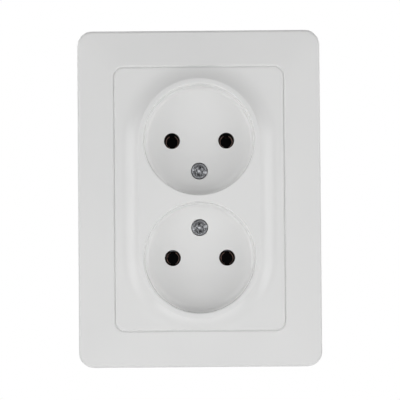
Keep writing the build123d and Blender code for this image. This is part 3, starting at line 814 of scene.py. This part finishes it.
def half_cover():
    """The cover's upper half, from the line midway between the wells."""
    shell = Shell()
    outward = outward_rays()
    between = even_steps(outward[-1], 360 + outward[0], WAIST_RAYS)[1:]
    rays = [(math.cos(math.radians(angle)), math.sin(math.radians(angle))) for angle in outward + between]
    starts, ways = [], []
    for across, up in rays[:len(outward)]:
        if up >= 0:
            starts.append((plateau_radius * across, socket_z + plateau_radius * up))
            ways.append((across, up))
        else:
            side = math.copysign(1, across)
            starts.append((side * plateau_radius, socket_z + plateau_radius * up / abs(across)))
            ways.append((side, 0.0))

    well = shell.skin([
        [(radius * across, y, socket_z + radius * up) for across, up in rays] for radius, y in well_profile()
    ])
    edge = [(x - shoulder * way[0], plateau_y, z - shoulder * way[1]) for (x, z), way in zip(starts, ways)]
    waist = [(socket_z * across / abs(up), plateau_y, 0.0) for across, up in rays[len(outward):]]
    rim = shell.row(edge + waist)
    shell.band(well[-1], rim)

    def line(distances, extra):
        """A row of points that far from the starts, and extra behind the front."""
        row = []
        for (x, z), way, distance in zip(starts, ways, distances):
            x, z = x + way[0] * distance, z + way[1] * distance
            row.append((x, front_depth(x, z) + extra, z))
        return row

    flat_runs = [run_to_edge(start, way, groove_reach) for start, way in zip(starts, ways)]
    shares = [i / COVE_STEPS for i in range(COVE_STEPS + 1)]
    cove = [[shoulder + (run - shoulder) * share for run in flat_runs] for share in shares]
    front = [line(distances, 0) for distances in cove]
    for out, drop in groove_edge()[1:]:
        runs = [run_to_edge(start, way, groove_reach - out) for start, way in zip(starts, ways)]
        front.append(line(runs, drop))
    rear = [line(runs, plastic_wall)] + [line(distances, plastic_wall) for distances in reversed(cove)]
    rear.append([(tube_radius * across, plateau_y + plastic_wall, socket_z + tube_radius * up)
                 for across, up in rays[:len(outward)]])
    skin = shell.skin(front + rear, closed=False)
    shell.band(rim[:len(outward)], skin[0], closed=False)

    front_holes, rear_holes = well_holes(shell)
    shell.plate(well[0], front_holes)
    tube_ends = [(tube_radius, plateau_y + plastic_wall / 2), (tube_radius, floor_rear)]
    tube = turned(shell, 0, socket_z, tube_ends, TUBE_SIDES)
    shell.plate(tube[-1], rear_holes)
    return shell


def cover_shell():
    """The cover's moulding: its two halves, the skirt inside the frame's opening and the ribs."""
    shell = Shell()
    half = half_cover()
    shell.take_in(half)
    shell.take_in(half, flip_z=True)
    skirt_width = opening_width - 2 * (ledge_reach + groove_gap)
    skirt_height = opening_height - 2 * (ledge_reach + groove_gap)
    skirt_corner = opening_corner - ledge_reach - groove_gap
    front, rear = panel_rear - skirt_wall, panel_rear + ledge_thickness + skirt_past_ledge
    inner = (skirt_width - 2 * skirt_wall, skirt_height - 2 * skirt_wall, skirt_corner / 2)
    outer = (skirt_width, skirt_height, skirt_corner)
    skirt = ((outer, front), (outer, rear), (inner, rear), (inner, front))
    shell.tube([rounded_rectangle(*size, y) for size, y in skirt])
    rib_half = skirt_wall / 2
    rib_end = (skirt_width - skirt_wall) / 2
    rib_rear = panel_rear + cover_rib_depth
    shell.block((-rib_end, front, -rib_half), (rib_end, rib_rear, rib_half))
    rib_start = well_radius + well_wall / 2
    for z in (-socket_z, socket_z):
        for side in (-1, 1):
            low_x, high_x = sorted((side * rib_start, side * rib_end))
            shell.block((low_x, front, z - rib_half), (high_x, rib_rear, z + rib_half))
    return shell


for name, shell, node in (
    ("frame_moulding", frame_shell(), "outer_frame"),
    ("cover_moulding", cover_shell(), "socket_cover"),
):
    piece = make_piece(name, shell, "housing", "cover_plastic", node)
    even = piece.modifiers.new("even_normals", "WEIGHTED_NORMAL")
    even.keep_sharp = True


# Screws

TURN_STEPS = 48
THREAD_STEPS = 8
BREAK_ANGLE = math.radians(50)

# How much faster a thread's groove falls than one that is deepest at a single line
THREAD_STEEPNESS = 1.25

# How far cutters stand out of a head: a slot's ends in head radii from its middle, the rest in millimetres
SLOT_REACH = 2.0
SLOT_RISE = 1.0
CROSS_RISE = 0.2


def threaded_shank(radius, depth, pitch, start, tip):
    """Rows along Y of a shank whose helical thread fades out at both ends, down to its chamfered tip."""
    end = tip - tip_chamfer
    count = round((end - start) / pitch * THREAD_STEPS)
    rows = []
    for i in range(count + 1):
        y = start + (end - start) * i / count
        fade = min(1.0, (y - start) / pitch, (end - y) / pitch)
        row = []
        for k in range(TURN_STEPS):
            phase = (y / pitch + k / TURN_STEPS) % 1
            groove = 1 - abs(2 * phase - 1)
            away = radius - depth * fade * min(1.0, groove * THREAD_STEEPNESS)
            angle = 2 * math.pi * k / TURN_STEPS
            row.append((away * math.cos(angle), y, away * math.sin(angle)))
        rows.append(row)
    return rows + [circle(0, 0, end_radius, tip, TURN_STEPS) for end_radius in (radius - tip_chamfer, 0)]


def screw_shell(head, shank):
    """A closed screw along +Y from (radius, y) points of its head and the rows of its shank."""
    shell = Shell()
    rows = [circle(0, 0, radius, y, TURN_STEPS) for radius, y in head]
    shell.skin(rows + shank)
    return shell


def rounded_head(radius, length, edge, neck):
    """(radius, y) of a flat head with a rounded front edge, down to the neck below it."""
    points = [(0, 0), (radius - edge, 0)]
    for angle in arc(0, 90)[1:]:
        points.append((radius - edge * (1 - math.sin(angle)), edge * (1 - math.cos(angle))))
    return points + [(radius, length), (neck, length)]


def carve(piece, cutters):
    """Takes cutters out of a piece and breaks its sharp edges."""
    tools = []
    for cutter in cutters:
        tool = add_object("cutter", shell_mesh("cutter", cutter), piece.matrix_world)
        tools.append(tool)
        cut = piece.modifiers.new("cut", "BOOLEAN")
        cut.operation = "DIFFERENCE"
        cut.solver = "EXACT"
        cut.object = tool
    broken = piece.modifiers.new("edges", "BEVEL")
    broken.width = screw_edge_break * MM
    broken.segments = 2
    broken.limit_method = "ANGLE"
    broken.angle_limit = BREAK_ANGLE
    graph = bpy.context.evaluated_depsgraph_get()
    mesh = bpy.data.meshes.new_from_object(piece.evaluated_get(graph))
    mesh.name = piece.name
    piece.modifiers.clear()
    piece.data = mesh
    finish_mesh(mesh)
    for tool in tools:
        bpy.data.objects.remove(tool)


def slot_cutter(head_radius, width, depth):
    """A block that cuts a slot right across a head."""
    reach = SLOT_REACH * head_radius
    cutter = Shell()
    cutter.block((-reach, -SLOT_RISE, -width / 2), (reach, depth, width / 2))
    return cutter


def cross_cutters():
    """The two arms of a cross recess, whose floor is cross_taper times as long as its mouth."""
    rows = []
    for y, share in ((-CROSS_RISE, 1.0), (0.0, 1.0), (cross_depth, cross_taper)):
        half_span = cross_span / 2 * share
        half_width = cover_slot_width / 2 * (1 + share) / 2
        rows.append([
            (half_span, y, half_width), (-half_span, y, half_width),
            (-half_span, y, -half_width), (half_span, y, -half_width),
        ])
    arm, other = Shell(), Shell()
    made = arm.skin(rows)
    arm.faces += [tuple(made[0]), tuple(made[-1])]
    other.points = [(-z, y, x) for x, y, z in arm.points]
    other.faces = arm.faces
    return [arm, other]


# Cover screws, turned heads that show in the wells, with painted light and shade

def cover_screw_shell():
    """A cover screw with a shallow ring turned into its head."""
    seat = floor_y + cover_screw_bore_depth - cover_head_front
    head = rounded_head(cover_head_radius, seat, cover_head_edge, cover_shank_radius)
    half_mouth = head_ring_width / 2
    half_floor = head_ring_width / 5
    ring = [
        (head_ring_radius - half_mouth, 0), (head_ring_radius - half_floor, head_ring_depth),
        (head_ring_radius + half_floor, head_ring_depth), (head_ring_radius + half_mouth, 0),
    ]
    start = seat + cover_plain_shank
    shank = threaded_shank(cover_shank_radius, cover_thread_depth, cover_pitch, start, cover_screw_length)
    return screw_shell(head[:1] + ring + head[1:], shank)


for row, turn in cover_screw_turns.items():
    place = Matrix.Translation(Vector((0, cover_head_front, ROWS[row] * cover_screw_z)) * MM)
    place = place @ Matrix.Rotation(math.radians(turn), 4, "Y")
    piece = make_piece(
        f"cover_screw_{row}", cover_screw_shell(), "housing", "screw_zinc", "cover_screws",
        place, finish="worn_zinc_painted_light")
    slot = slot_cutter(cover_head_radius, cover_slot_width, cover_slot_depth)
    carve(piece, [slot, *cross_cutters()])


# Claw screws and terminal screws, threaded on their moving bodies

def claw_screw_shell():
    """A claw screw with a collar that keeps it on the strap."""
    head = rounded_head(claw_head_radius, claw_head_length, claw_head_edge, claw_neck_radius)
    head += [
        (claw_neck_radius, claw_collar_from), (claw_collar_radius, claw_collar_from),
        (claw_collar_radius, claw_collar_to), (claw_shank_radius, claw_collar_to),
    ]
    start = claw_collar_to + thread_gap
    shank = threaded_shank(claw_shank_radius, claw_thread_depth, claw_pitch, start, claw_screw_length)
    return screw_shell(head, shank)


def terminal_screw_shell(length):
    """A terminal screw of that length."""
    head = rounded_head(
        terminal_head_radius, terminal_head_length, terminal_head_edge, terminal_shank_radius)
    start = terminal_head_length + thread_gap
    shank = threaded_shank(terminal_shank_radius, terminal_thread_depth, terminal_pitch, start, length)
    return screw_shell(head, shank)


def moving_screw(name, shell, node, place, head_radius, slot_depth):
    """A slotted screw that stands for a node and rides on the body of the same name."""
    piece = make_piece(name, shell, node, "screw_zinc", node, place)
    carve(piece, [slot_cutter(head_radius, screw_slot_width, slot_depth)])


for side, sign in SIDES.items():
    place = Matrix.Translation(Vector((sign * claw_screw_x, claw_screw_front, 0)) * MM)
    moving_screw(
        f"claw_screw_threaded_{side}", claw_screw_shell(), f"claw_screw_{side}", place,
        claw_head_radius, claw_slot_depth)
    for row in ROWS:
        node = f"terminal_screw_{row}_{side}"
        low, high = box_mm(node)
        middle = (low + high) / 2
        head_x = max(low.x, high.x, key=abs)
        place = Matrix.Translation(Vector((head_x, middle.y, middle.z)) * MM)
        place = place @ Matrix.Rotation(math.radians(90 * sign), 4, "Z")
        moving_screw(
            f"terminal_screw_threaded_{row}_{side}", terminal_screw_shell(high.x - low.x), node, place,
            terminal_head_radius, terminal_slot_depth)


# Camera

camera_place = (0.00165, -1.000, -0.03882)
yaw = math.radians(0.085)
pitch = math.radians(2.216)
roll = math.radians(-0.455)
forward = Vector((-math.sin(yaw) * math.cos(pitch), math.cos(yaw) * math.cos(pitch), math.sin(pitch)))
level = Vector((math.cos(yaw), math.sin(yaw), 0))
upright = level.cross(forward)
right = level * math.cos(roll) + upright * math.sin(roll)
upward = upright * math.cos(roll) - level * math.sin(roll)
turn = Matrix((right, upward, -forward)).transposed().to_4x4()
camera_data = bpy.data.cameras.new("camera")
camera_data.sensor_width = 36.0
camera_data.lens = 256.52
camera_data.clip_start = 0.01
scene.camera = add_object("camera", camera_data, Matrix.Translation(camera_place) @ turn)


# Light, backdrop and floor

WHITE = (1, 1, 1, 1)
AMBIENT_STRENGTH = 0.2
FLOOR_REACH = 3.0
FLOOR_Z = -1.6
FLOOR_GREY = (0.8, 0.8, 0.8, 1)
FLOOR_ROUGHNESS = 0.9


def seen_white(tree, plain, output):
    """Links plain to output, but white for what the camera, a reflection or glass shows."""
    path = tree.nodes.new("ShaderNodeLightPath")
    solid = output.node.type == "OUTPUT_MATERIAL"
    white = tree.nodes.new("ShaderNodeEmission" if solid else "ShaderNodeBackground")
    white.inputs["Color"].default_value = WHITE
    white.inputs["Strength"].default_value = 1.0
    either = path.outputs["Is Camera Ray"]
    for ray in ("Is Glossy Ray", "Is Transmission Ray"):
        most = tree.nodes.new("ShaderNodeMath")
        most.operation = "MAXIMUM"
        tree.links.new(either, most.inputs[0])
        tree.links.new(path.outputs[ray], most.inputs[1])
        either = most.outputs[0]
    mix = tree.nodes.new("ShaderNodeMixShader")
    tree.links.new(either, mix.inputs[0])
    tree.links.new(plain, mix.inputs[1])
    tree.links.new(white.outputs[0], mix.inputs[2])
    tree.links.new(mix.outputs[0], output)


world = bpy.data.worlds.new("world")
scene.world = world
world.use_nodes = True
ambient = world.node_tree.nodes["Background"]
ambient.inputs["Color"].default_value = WHITE
ambient.inputs["Strength"].default_value = AMBIENT_STRENGTH
seen_white(world.node_tree, ambient.outputs[0], world.node_tree.nodes["World Output"].inputs["Surface"])

floor_mesh = bpy.data.meshes.new("floor")
corners = [(x * FLOOR_REACH, y * FLOOR_REACH, FLOOR_Z) for x, y in ((-1, -1), (1, -1), (1, 1), (-1, 1))]
floor_mesh.from_pydata(corners, [], [(0, 1, 2, 3)])
floor = add_object("floor", floor_mesh)
floor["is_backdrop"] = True
floor_look = bpy.data.materials.new("floor")
floor_look.use_nodes = True
floor_shader = floor_look.node_tree.nodes["Principled BSDF"]
floor_shader.inputs["Base Color"].default_value = FLOOR_GREY
floor_shader.inputs["Roughness"].default_value = FLOOR_ROUGHNESS
floor_output = floor_look.node_tree.nodes["Material Output"]
seen_white(floor_look.node_tree, floor_shader.outputs[0], floor_output.inputs["Surface"])
floor_mesh.materials.append(floor_look)

# Each lamp's place and side in metres, and its power in watts. All of them face the part.
lamps = {
    "lower_left": ((-0.85, -1.00, -0.10), 0.7, 3.32),
    "lower_right": ((0.85, -1.00, -0.10), 0.7, 3.42),
    "lower_middle": ((0.0, -1.35, -0.20), 0.7, 1.69),
    "far_left": ((-1.20, -0.50, 0.10), 0.9, 2.56),
    "far_right": ((1.20, -0.50, 0.10), 0.9, 2.47),
    "under_left": ((-0.50, -0.40, -0.85), 0.5, 1.14),
    "under_middle": ((0.0, -0.40, -0.90), 0.5, 0.52),
    "under_right": ((0.50, -0.40, -0.85), 0.5, 0.90),
    "behind_left": ((-0.9, 0.9, 0.6), 0.9, 5.0),
    "behind_right": ((0.9, 0.9, 0.6), 0.9, 5.0),
}
for name, (place, size, power) in lamps.items():
    data = bpy.data.lights.new(name, "AREA")
    data.size = size
    data.energy = power
    lamp = add_object(name, data)
    lamp.location = place
    lamp.rotation_mode = "QUATERNION"
    lamp.rotation_quaternion = (Vector((0, 0, 0)) - Vector(place)).to_track_quat("-Z", "Y")

scene.view_settings.view_transform = "Standard"

low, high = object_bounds()
